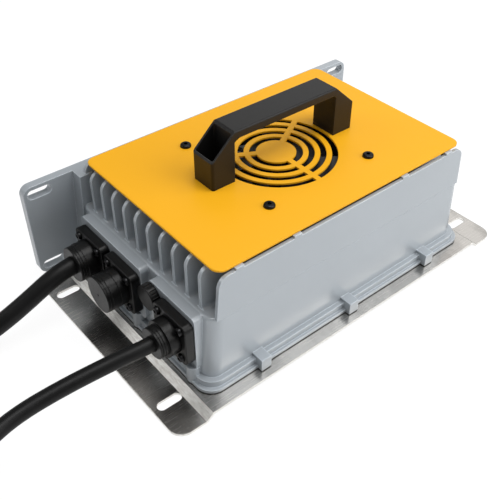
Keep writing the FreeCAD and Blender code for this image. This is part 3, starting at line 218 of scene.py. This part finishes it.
class Shader:
    """A material with one principled shader, and short calls for its nodes."""

    def __init__(self, name, **constants):
        self.material = bpy.data.materials.new(name)
        self.material.use_nodes = True
        self.tree = self.material.node_tree
        self.surface = self.tree.nodes["Principled BSDF"]
        for label, value in constants.items():
            self.feed(self.surface.inputs[label.replace("_", " ")], value)

    def feed(self, socket, value):
        """Links a wire or a node's socket, or sets a plain value."""
        if isinstance(value, Wire):
            self.tree.links.new(value.socket, socket)
        elif isinstance(value, bpy.types.NodeSocket):
            self.tree.links.new(value, socket)
        else:
            socket.default_value = value

    def node(self, kind, settings=None, **sockets):
        """A node of one type: its settings first, then its sockets."""
        made = self.tree.nodes.new(kind)
        for label, value in (settings or {}).items():
            setattr(made, label, value)
        for label, value in sockets.items():
            self.feed(made.inputs[label], value)
        return made

    def place(self, stretch):
        """Object coordinates, stretched along the axes."""
        source = self.node("ShaderNodeTexCoord").outputs["Object"]
        if stretch == (1, 1, 1):
            return source
        return self.node("ShaderNodeMapping", Vector=source, Scale=stretch).outputs[0]

    def noise(self, scale, detail=2.0, stretch=(1, 1, 1), rough=0.5):
        """A noise value from 0 to 1."""
        made = self.node("ShaderNodeTexNoise", Vector=self.place(stretch), Scale=scale, Detail=detail,
                         Roughness=rough)
        return Wire(self, made.outputs["Fac"])

    def blend(self, amount, first, second):
        """A colour between two colours."""
        made = self.node("ShaderNodeMix", {"data_type": "RGBA"})
        for index, value in ((0, amount), (6, first), (7, second)):
            self.feed(made.inputs[index], value)
        return made.outputs[2]

    def round_edge(self, radius):
        """The normal with its edges rounded."""
        return self.node("ShaderNodeBevel", {"samples": 4}, Radius=radius).outputs[0]

    def edge_mask(self, radius):
        """1 on sharp edges and 0 on flat faces."""
        plain = self.node("ShaderNodeNewGeometry").outputs["Normal"]
        facing = self.node("ShaderNodeVectorMath", {"operation": "DOT_PRODUCT"})
        self.feed(facing.inputs[0], self.round_edge(radius))
        self.feed(facing.inputs[1], plain)
        return (1.0 - Wire(self, facing.outputs["Value"])).between(0.01, 0.25)

    def crevice(self, reach):
        """1 deep in gaps and corners and 0 on open faces, from ambient occlusion: the mask for painted shade.
        """
        made = self.node("ShaderNodeAmbientOcclusion", {"samples": 6}, Distance=reach)
        return 1.0 - Wire(self, made.outputs["AO"])

    def tilt(self):
        """0 on level faces, rising to 1 on upright ones."""
        plain = self.node("ShaderNodeNewGeometry").outputs["Normal"]
        parts = self.node("ShaderNodeSeparateXYZ", Vector=plain)
        return 1.0 - Wire(self, parts.outputs["Z"]).maths("ABSOLUTE")

    def bump(self, height, strength, distance, normal=None):
        """Raises the surface by a height."""
        made = self.node("ShaderNodeBump", Height=height, Strength=strength, Distance=distance)
        if normal is not None:
            self.feed(made.inputs["Normal"], normal)
        self.feed(self.surface.inputs["Normal"], made.outputs[0])

    def set(self, label, value):
        """Sets or links a socket of the principled shader."""
        self.feed(self.surface.inputs[label], value)


def opaque(colour):
    """A colour with its alpha."""
    return tuple(colour) + (1.0,)


def shade(colour, factor):
    """A lighter or darker copy of a colour."""
    return tuple(min(1.0, channel * factor) for channel in colour)


def cast_coat(colour):
    """Silver-grey coat on cast metal: fine grain, a painted highlight on its edges and painted shade deep in
    its gaps.
    """
    made = Shader("cast_coat", Metallic=0.2, Specular_IOR_Level=0.5, Coat_Weight=0.5, Coat_Roughness=0.16)
    cloud = made.noise(14, 3)
    grain = made.noise(900, 2)
    open_face = made.blend(cloud, opaque(shade(colour, 0.96)), opaque(shade(colour, 1.05)))
    # Painted shade: the coat turns darker deep in the gaps between the fins and in corners.
    deep = made.crevice(0.013).between(0.45, 1.0)
    base = made.blend(deep * 0.8, open_face, opaque(shade(colour, 0.4)))
    # Painted highlight: the coat turns paler along its edges.
    edges = made.edge_mask(0.0016)
    made.set("Base Color", made.blend(edges * 0.8, base, opaque(shade(colour, 1.9))))
    made.set("Roughness", 0.33 + made.noise(120, 2) * 0.12)
    made.bump(grain, 0.22, 0.0002, made.round_edge(0.0009))
    return made.material


def powder_coat(colour):
    """Smooth yellow coat with a faint orange peel."""
    made = Shader("powder_coat", Specular_IOR_Level=0.25)
    cloud = made.noise(9, 2)
    made.set("Base Color", made.blend(cloud, opaque(shade(colour, 0.97)), opaque(shade(colour, 1.03))))
    made.set("Roughness", 0.42 + made.noise(300, 2) * 0.08)
    made.bump(made.noise(1100, 2), 0.10, 0.00015, made.round_edge(0.0004))
    return made.material


def brushed_steel(name, colour, stretch, smooth=0.15):
    """Brushed steel: fine streaks, broad smears across them, and coarser bends and edges with painted light
    that makes them brighter.
    """
    made = Shader(name, Metallic=1.0)
    streak = made.noise(1, 4, stretch, 0.65)
    smear = made.noise(22, 4, (1.0, 0.5, 1.0), 0.6).between(0.40, 0.60)
    bent = made.tilt().between(0.03, 0.18)
    speck = made.noise(260, 3, (3.0, 0.5, 3.0), 0.7)
    tone = made.blend(streak, opaque(shade(colour, 0.72)), opaque(shade(colour, 1.2)))
    dirty = made.blend(smear * 0.5, tone, opaque(shade(colour, 0.42)))
    # Bends and edges get a coarse speckled grain and painted light: their colour is brighter than that of the
    # level faces.
    coarse_grain_and_painted_light = made.blend(speck.between(0.25, 0.75), opaque(shade(colour, 0.95)), opaque(shade(colour, 1.45)))
    made.set("Base Color", made.blend(bent, dirty, coarse_grain_and_painted_light))
    made.set("Roughness", smooth + streak * 0.2 + bent * 0.28)
    made.bump(streak * 0.35 + speck * bent, 0.22, 0.0002, made.round_edge(0.0006))
    return made.material


def plain_metal(name, colour, rough):
    """Plated metal with faint turning marks."""
    made = Shader(name, Metallic=1.0)
    mark = made.noise(600, 3)
    made.set("Base Color", made.blend(mark, opaque(shade(colour, 0.88)), opaque(shade(colour, 1.1))))
    made.set("Roughness", rough + mark * 0.1)
    made.bump(mark, 0.08, 0.0001, made.round_edge(0.0002))
    return made.material


def moulded(name, colour, rough, grain_scale, grain, edge=0.0004, sheen=0.22, painted_edge_gain=5.0, gloss=0.0):
    """Moulded plastic with a grain, a painted highlight on its edges and painted shade deep in its pockets.
    """
    made = Shader(name, Specular_IOR_Level=sheen, Coat_Weight=gloss, Coat_Roughness=0.14)
    cloud = made.noise(60, 3)
    tone = made.blend(cloud, opaque(shade(colour, 0.8)), opaque(shade(colour, 1.3)))
    # Painted shade deep in the pockets, and a painted highlight along the edges at the edge gain.
    painted_pocket_shade = made.blend(made.crevice(0.012).between(0.3, 0.9), tone, opaque(shade(colour, 0.25)))
    made.set("Base Color", made.blend(made.edge_mask(edge) * 0.6, painted_pocket_shade, opaque(shade(colour, painted_edge_gain))))
    made.set("Roughness", rough + made.noise(grain_scale / 4, 2) * 0.12)
    made.bump(made.noise(grain_scale, 3), grain, 0.00025, made.round_edge(edge))
    return made.material


def rubber(name, colour, rough=0.5):
    """Rubber or soft jacket with a dull bloom."""
    made = Shader(name, Specular_IOR_Level=0.22)
    bloom = made.noise(90, 4)
    made.set("Base Color", made.blend(bloom, opaque(shade(colour, 0.8)), opaque(shade(colour, 1.6))))
    made.set("Roughness", rough + bloom * 0.15)
    made.bump(made.noise(1500, 2), 0.12, 0.0001)
    return made.material


def tinted(name, colour, rough, metal=0.0):
    """A simple lacquered or enamelled piece inside the casing."""
    made = Shader(name, Metallic=metal)
    spread = made.noise(200, 3)
    made.set("Base Color", made.blend(spread, opaque(shade(colour, 0.8)), opaque(shade(colour, 1.15))))
    made.set("Roughness", rough + spread * 0.1)
    made.bump(made.noise(700, 2), 0.1, 0.0001)
    return made.material


def glass():
    """The fuse's clear tube."""
    made = Shader("fuse_glass", Transmission_Weight=0.9, IOR=1.45)
    made.set("Base Color", (0.85, 0.9, 0.9, 1.0))
    made.set("Roughness", 0.05 + made.noise(400, 2) * 0.05)
    return made.material


def dress(node, material):
    """Gives a CAD node its finish."""
    slots = NODES[node].data.materials
    slots.clear()
    slots.append(material)


def coil_points(radius, pitch, start, side):
    """The coil's control points: in, then out again one layer higher."""
    inward = COIL_TURNS / 2 + 0.25
    spots = []
    for index in range(COIL_TURNS * COIL_POINTS + 1):
        turns = index / COIL_POINTS
        reach = radius - pitch * (turns if turns < inward else 2 * inward - turns)
        share = min(max((turns - inward + 0.25) / 0.5, 0.0), 1.0)
        climb = (1 - math.cos(math.pi * share)) / 2
        angle = 2 * math.pi * turns
        x = start[0] - reach * math.sin(angle)
        y = start[1] + side * (reach * math.cos(angle) - radius)
        spots.append((x, y, start[2] + pitch * climb))
    return spots


def make_cable(name, lead, coil, tail, diameter):
    """One cable as a smooth curve through its lead, its coil and its tail."""
    points = lead + coil_points(**coil) + tail
    curve = bpy.data.curves.new(name, "CURVE")
    curve.dimensions = "3D"
    spline = curve.splines.new("NURBS")
    spline.points.add(len(points) - 1)
    for point, place in zip(spline.points, points):
        point.co = tuple(place) + (1.0,)
    spline.order_u = 3
    spline.use_endpoint_u = True
    spline.resolution_u = 8
    curve.bevel_depth = diameter / 2
    curve.bevel_resolution = 6
    curve.use_fill_caps = True
    piece = bpy.data.objects.new(name, curve)
    bpy.context.scene.collection.objects.link(piece)
    return piece


HEAD_SIDES = 24


def lay_ring(shape, reach, level, sides=HEAD_SIDES, cap=False):
    """A ring of points about the axis at a level, as many on each of its sides."""
    verts = bmesh.ops.create_circle(shape, cap_ends=cap, segments=sides, radius=reach)["verts"]
    bmesh.ops.translate(shape, verts=verts, vec=(0, 0, level))
    if sides < HEAD_SIDES:
        edges = [edge for edge in shape.edges if edge.is_wire]
        bmesh.ops.subdivide_edges(shape, edges=edges, cuts=HEAD_SIDES // sides - 1)


def join_ring(shape, last, reach, level, sides=HEAD_SIDES):
    """Bridges the last ring to a new one and gives back the new one's edges."""
    lay_ring(shape, reach, level, sides)
    ring = [edge for edge in shape.edges if edge.is_wire]
    bmesh.ops.bridge_loops(shape, edges=last + ring)
    return ring


def form_head(shape, radius, tall, key, shank, depth):
    """A button head on its shank, with a hexagon socket, its seat at the origin."""
    lay_ring(shape, shank, -depth, cap=True)
    ring = shape.edges[:]
    for reach, level in ((shank, 0.0), (radius, 0.0), (radius, tall * 0.4), (radius * 0.95, tall * 0.7),
                         (radius * 0.82, tall * 0.93), (radius * 0.68, tall)):
        ring = join_ring(shape, ring, reach, level)
    corner = key / math.cos(math.pi / 6)
    for reach, level in ((corner, tall), (corner * 0.98, tall * 0.35)):
        ring = join_ring(shape, ring, reach, level, 6)
    bmesh.ops.edgeloop_fill(shape, edges=ring)


def make_heads(name, places, way, radius, tall, key, shank, depth, stands_for, material):
    """Like screws in one piece, their seats at the places and their heads along the way."""
    shape = bmesh.new()
    form_head(shape, radius, tall, key, shank, depth)
    turn = Vector((0, 0, 1)).rotation_difference(Vector(way)).to_matrix()
    bmesh.ops.rotate(shape, verts=shape.verts, cent=(0, 0, 0), matrix=turn)
    bmesh.ops.translate(shape, verts=shape.verts, vec=places[0])
    first = shape.verts[:] + shape.edges[:] + shape.faces[:]
    for place in places[1:]:
        twin = bmesh.ops.duplicate(shape, geom=first)["geom"]
        verts = [part for part in twin if isinstance(part, bmesh.types.BMVert)]
        bmesh.ops.translate(shape, verts=verts, vec=Vector(place) - Vector(places[0]))
    bmesh.ops.recalc_face_normals(shape, faces=shape.faces)
    mesh = bpy.data.meshes.new(name)
    shape.to_mesh(mesh)
    shape.free()
    mesh.materials.append(material)
    mesh.set_sharp_from_angle(angle=math.radians(32))
    piece = bpy.data.objects.new(name, mesh)
    bpy.context.scene.collection.objects.link(piece)
    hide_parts(stands_for)
    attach(piece, BODY)


class CHARGER_OT_cables(bpy.types.Operator):
    """Lays the two cables, each wound into a coil beside the charger"""
    bl_idname = "charger.cables"
    bl_label = "Cables"

    def execute(self, context):
        jacket = rubber("cable_jacket", context.scene.charger_finish.jacket, 0.34)
        plan = [
            ("output_cable", OUTPUT_LEAD, OUTPUT_COIL, OUTPUT_TAIL, OUTPUT_DIAMETER,
             ("output_lead", "output_coil", "output_tail"), ("output_plug_body", "output_plug_blades"),
             "connector"),
            ("mains_cable", MAINS_LEAD, MAINS_COIL, MAINS_TAIL, MAINS_DIAMETER,
             ("mains_lead", "mains_coil", "mains_tail"), ("mains_plug_body", "mains_plug_pins"), "plug"),
        ]
        for name, lead, coil, tail, diameter, stands_for, far, end in plan:
            piece = make_cable(name, lead, coil, tail, diameter)
            piece.data.materials.append(jacket)
            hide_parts(*stands_for)
            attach(piece, BODY)
        return {"FINISHED"}


class CHARGER_OT_casing(bpy.types.Operator):
    """Finishes the cast casing, the base plate and their gasket"""
    bl_idname = "charger.casing"
    bl_label = "Casing and base"

    def execute(self, context):
        finish = context.scene.charger_finish
        dress("main_casing", cast_coat(finish.casing))
        dress("base_plate", brushed_steel("base_steel", finish.steel, (30, 1500, 1500)))
        dress("base_gasket", rubber("gasket_rubber", (0.02, 0.02, 0.02), 0.6))
        dress("base_screws", plain_metal("zinc_screw", (0.65, 0.65, 0.63), 0.3))
        return {"FINISHED"}


class CHARGER_OT_cover(bpy.types.Operator):
    """Finishes the cover, its screws and the handle"""
    bl_idname = "charger.cover"
    bl_label = "Cover and handle"

    def execute(self, context):
        finish = context.scene.charger_finish
        screw = context.scene.charger_screws
        black_steel = plain_metal("black_oxide", (0.03, 0.03, 0.032), 0.32)
        dress("top_cover", powder_coat(finish.cover))
        low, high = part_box("cover_screws")
        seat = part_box("top_cover")[1].z
        inset = screw.cover_centre
        places = [(x, y, seat) for x in (low.x + inset, high.x - inset)
                  for y in (low.y + inset, high.y - inset)]
        make_heads("cover_screw_set", places, (0, 0, 1), screw.cover_head, high.z - seat, screw.cover_key,
                   screw.cover_shank, seat - low.z, "cover_screws", black_steel)
        dress("handle", moulded("handle_grain", finish.handle, 0.32, 2600, 0.2, 0.0011, 0.26, 11.0, 0.06))
        dress("handle_screws", black_steel)
        dress("handle_nuts", plain_metal("zinc_nut", (0.62, 0.62, 0.6), 0.32))
        return {"FINISHED"}


class CHARGER_OT_connectors(bpy.types.Operator):
    """Finishes the connectors, the glands, the caps and their screws"""
    bl_idname = "charger.connectors"
    bl_label = "Connectors"

    def execute(self, context):
        finish = context.scene.charger_finish
        plastic = moulded("port_plastic", finish.plastic, 0.30, 1800, 0.12, 0.0006, 0.22, 9.0, 0.08)
        seal = rubber("seal_rubber", (0.02, 0.02, 0.02), 0.55)
        for node in ("output_port_body", "mains_port_body", "spare_socket", "output_gland_nut",
                     "mains_gland_nut", "spare_cap", "signal_socket", "signal_cap"):
            dress(node, plastic)
        for node in ("output_port_gasket", "mains_port_gasket", "spare_socket_gasket", "output_gland_seal",
                     "mains_gland_seal", "spare_cap_seal"):
            dress(node, seal)
        screw = context.scene.charger_screws
        black_steel = plain_metal("black_screw", (0.035, 0.035, 0.036), 0.25)
        half = screw.port_spacing
        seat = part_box("output_port_gasket")[0].x - screw.port_flange
        places = []
        for node in ("output_port_gasket", "spare_socket_gasket", "mains_port_gasket"):
            low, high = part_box(node)
            middle = (low + high) / 2
            places += [(seat, middle.y + dy, middle.z + dz) for dy in (-half, half) for dz in (-half, half)]
        low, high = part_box("port_screws")
        make_heads("port_screw_set", places, (-1, 0, 0), screw.port_head, seat - low.x, screw.port_key,
                   screw.port_shank, high.x - seat, "port_screws", black_steel)
        dress("spare_contacts", plain_metal("contact_brass", (0.75, 0.58, 0.25), 0.25))
        return {"FINISHED"}


class CHARGER_OT_plugs(bpy.types.Operator):
    """Finishes the plugs at the cables' far ends"""
    bl_idname = "charger.plugs"
    bl_label = "Plugs"

    def execute(self, context):
        plastic = moulded("plug_plastic", context.scene.charger_finish.plastic, 0.45, 2200, 0.2, 0.0008)
        contact = plain_metal("plug_contact", (0.72, 0.6, 0.35), 0.25)
        for node in ("output_plug_body", "mains_plug_body"):
            dress(node, plastic)
        for node in ("output_plug_blades", "mains_plug_pins"):
            dress(node, contact)
        return {"FINISHED"}


class CHARGER_OT_fan(bpy.types.Operator):
    """Finishes the fan under the grille"""
    bl_idname = "charger.fan"
    bl_label = "Fan"

    def execute(self, context):
        plastic = moulded("fan_plastic", (0.016, 0.016, 0.018), 0.38, 1500, 0.1, 0.0003)
        steel = plain_metal("fan_steel", (0.6, 0.6, 0.6), 0.2)
        for node in ("fan_frame", "fan_rotor"):
            dress(node, plastic)
        for node in ("fan_shaft", "fan_bearings"):
            dress(node, steel)
        dress("fan_stator", tinted("stator_copper", (0.6, 0.28, 0.1), 0.35, 0.8))
        for node in ("fan_lead", "fan_grommet"):
            dress(node, rubber(node + "_rubber", (0.015, 0.015, 0.015), 0.5))
        return {"FINISHED"}


# Node, finish, colour, roughness and metal share of each lacquered piece inside
LACQUERED = (
    ("circuit_board", "solder_mask", (0.02, 0.16, 0.07), 0.35, 0.0),
    ("transformer_core", "core_ferrite", (0.04, 0.04, 0.045), 0.6, 0.0),
    ("choke_cores", "ring_ferrite", (0.05, 0.07, 0.05), 0.5, 0.0),
    ("transformer_winding", "winding_tape", (0.7, 0.5, 0.1), 0.4, 0.0),
    ("choke_windings", "winding_copper", (0.6, 0.25, 0.08), 0.3, 0.8),
    ("bulk_capacitors", "capacitor_sleeve", (0.03, 0.04, 0.09), 0.3, 0.0),
    ("output_capacitors", "small_capacitor_sleeve", (0.02, 0.02, 0.02), 0.3, 0.0),
    ("filter_capacitors", "film_box", (0.6, 0.5, 0.12), 0.35, 0.0),
    ("relay", "relay_case", (0.03, 0.06, 0.2), 0.3, 0.0),
    ("terminal_blocks", "terminal_green", (0.04, 0.25, 0.1), 0.4, 0.0),
    ("power_transistors", "package_black", (0.02, 0.02, 0.02), 0.5, 0.0),
)
# Node, finish and colour of each bare metal piece inside
BARE_METAL = (
    ("board_screws", "board_screw", (0.6, 0.6, 0.6)),
    ("fuse_holder", "clip_metal", (0.6, 0.6, 0.55)),
    ("clamp_bar", "clamp_steel", (0.6, 0.6, 0.6)),
    ("clamp_screws", "clamp_screw", (0.6, 0.6, 0.58)),
)


class CHARGER_OT_electronics(bpy.types.Operator):
    """Finishes the circuit board and all that stands on it"""
    bl_idname = "charger.electronics"
    bl_label = "Electronics"

    def execute(self, context):
        for node, finish, colour, rough, metal in LACQUERED:
            dress(node, tinted(finish, colour, rough, metal))
        for node, finish, colour in BARE_METAL:
            dress(node, plain_metal(finish, colour, 0.3))
        dress("fuse", glass())
        dress("insulating_sheet", rubber("thermal_sheet", (0.4, 0.4, 0.42), 0.6))
        dress("inner_wires", rubber("wire_sleeve", (0.2, 0.02, 0.02), 0.4))
        return {"FINISHED"}


def add_camera(stage):
    """The camera at the photograph's angle."""
    level = math.cos(stage.dip)
    forward = Vector((math.sin(stage.heading) * level, math.cos(stage.heading) * level, -math.sin(stage.dip)))
    side = Vector((math.cos(stage.heading), -math.sin(stage.heading), 0))
    up = side.cross(forward)
    right = side * math.cos(stage.roll) + up * math.sin(stage.roll)
    above = up * math.cos(stage.roll) - side * math.sin(stage.roll)
    turn = Matrix((right, above, -forward)).transposed().to_4x4()
    lens = bpy.data.cameras.new("camera")
    lens.lens = stage.lens
    lens.sensor_width = 36.0
    lens.shift_x = 0.0026
    lens.shift_y = -0.0014
    lens.clip_start = 0.01
    camera = bpy.data.objects.new("camera", lens)
    camera.matrix_world = Matrix.Translation(Vector(stage.eye)) @ turn
    bpy.context.scene.collection.objects.link(camera)
    bpy.context.scene.camera = camera


# Name, place, aim, side and power in watts of each lamp
LAMPS = (
    ("key_lamp", (0.9, -1.1, 1.0), (0, 0, 0.05), 1.4, 17.3),
    ("top_lamp", (0.05, -0.2, 1.5), (0, 0, 0.05), 0.9, 11.5),
    ("back_card", (1.3, 0.9, 1.2), (0, 0, 0.0), 1.5, 5.0),
    ("left_card", (-1.35, 1.05, 1.15), (-0.1, 0, 0.05), 0.7, 4.5),
)
FLOOR_REACH = 6.0
FLOOR_DROP = 0.0002


def add_lamp(name, place, target, size, power):
    """A soft square lamp that faces a point."""
    data = bpy.data.lights.new(name, "AREA")
    data.shape = "SQUARE"
    data.size = size
    data.energy = power
    lamp = bpy.data.objects.new(name, data)
    lamp.location = place
    lamp.rotation_euler = (Vector(target) - Vector(place)).to_track_quat("-Z", "Y").to_euler()
    bpy.context.scene.collection.objects.link(lamp)


def add_floor():
    """A wide pale floor that shows white to the camera and keeps a soft shadow."""
    mesh = bpy.data.meshes.new("floor")
    shape = bmesh.new()
    bmesh.ops.create_grid(shape, x_segments=1, y_segments=1, size=FLOOR_REACH)
    bmesh.ops.translate(shape, verts=shape.verts, vec=(0, 0, -FLOOR_DROP))
    shape.to_mesh(mesh)
    shape.free()
    floor = bpy.data.objects.new("floor", mesh)
    bpy.context.scene.collection.objects.link(floor)
    made = Shader("floor_white", Roughness=0.9, Specular_IOR_Level=0.0)
    made.set("Base Color", (0.9, 0.9, 0.9, 1.0))
    glow = made.node("ShaderNodeEmission", Color=(1, 1, 1, 1), Strength=1.1)
    path = made.node("ShaderNodeLightPath")
    seen = Wire(made, path.outputs["Is Camera Ray"]) * 0.82
    mirrored = Wire(made, path.outputs["Is Glossy Ray"]) * 0.4
    mix = made.node("ShaderNodeMixShader")
    made.feed(mix.inputs[0], seen.maths("MAXIMUM", mirrored))
    made.feed(mix.inputs[1], made.surface.outputs[0])
    made.feed(mix.inputs[2], glow.outputs[0])
    made.feed(made.tree.nodes["Material Output"].inputs["Surface"], mix.outputs[0])
    mesh.materials.append(made.material)


def set_world(strength):
    """A white sky: full white to the camera, softer as light."""
    world = bpy.data.worlds.new("studio")
    bpy.context.scene.world = world
    world.use_nodes = True
    nodes = world.node_tree.nodes
    links = world.node_tree.links
    sky = nodes["Background"]
    sky.inputs["Color"].default_value = (1, 1, 1, 1)
    path = nodes.new("ShaderNodeLightPath")
    reach = nodes.new("ShaderNodeMapRange")
    reach.inputs["To Min"].default_value = strength
    reach.inputs["To Max"].default_value = 1.0
    links.new(path.outputs["Is Camera Ray"], reach.inputs["Value"])
    links.new(reach.outputs[0], sky.inputs["Strength"])


class CHARGER_OT_stage(bpy.types.Operator):
    """Sets up the floor, the lamps and the camera"""
    bl_idname = "charger.stage"
    bl_label = "Stage"

    def execute(self, context):
        stage = context.scene.charger_stage
        add_camera(stage)
        add_floor()
        set_world(stage.world)
        for lamp in LAMPS:
            add_lamp(*lamp)
        context.scene.view_settings.view_transform = "Standard"
        return {"FINISHED"}


OPERATORS = (CHARGER_OT_stage, CHARGER_OT_cables, CHARGER_OT_casing, CHARGER_OT_cover, CHARGER_OT_connectors,
             CHARGER_OT_plugs, CHARGER_OT_fan, CHARGER_OT_electronics)


class CHARGER_PT_panel(bpy.types.Panel):
    """The sidebar panel with every step"""
    bl_idname = "CHARGER_PT_panel"
    bl_label = "Battery charger"
    bl_space_type = "VIEW_3D"
    bl_region_type = "UI"
    bl_category = "Charger"

    def draw(self, context):
        for operator in OPERATORS:
            self.layout.operator(operator.bl_idname)
        scene = context.scene
        for settings in (scene.charger_finish, scene.charger_screws, scene.charger_stage):
            for name in settings.__annotations__:
                self.layout.prop(settings, name)


CLASSES = (FinishSettings, ScrewSettings, StageSettings) + OPERATORS + (CHARGER_PT_panel,)


def register():
    """Makes the classes and their settings known."""
    for each in CLASSES:
        bpy.utils.register_class(each)
    bpy.types.Scene.charger_finish = bpy.props.PointerProperty(type=FinishSettings)
    bpy.types.Scene.charger_screws = bpy.props.PointerProperty(type=ScrewSettings)
    bpy.types.Scene.charger_stage = bpy.props.PointerProperty(type=StageSettings)


def unregister():
    """Takes them away again."""
    del bpy.types.Scene.charger_stage
    del bpy.types.Scene.charger_screws
    del bpy.types.Scene.charger_finish
    for each in reversed(CLASSES):
        bpy.utils.unregister_class(each)


def main():
    """Runs every step in order."""
    register()
    bpy.ops.charger.stage()
    bpy.ops.charger.cables()
    bpy.ops.charger.casing()
    bpy.ops.charger.cover()
    bpy.ops.charger.connectors()
    bpy.ops.charger.plugs()
    bpy.ops.charger.fan()
    bpy.ops.charger.electronics()


if __name__ == "__main__":
    main()
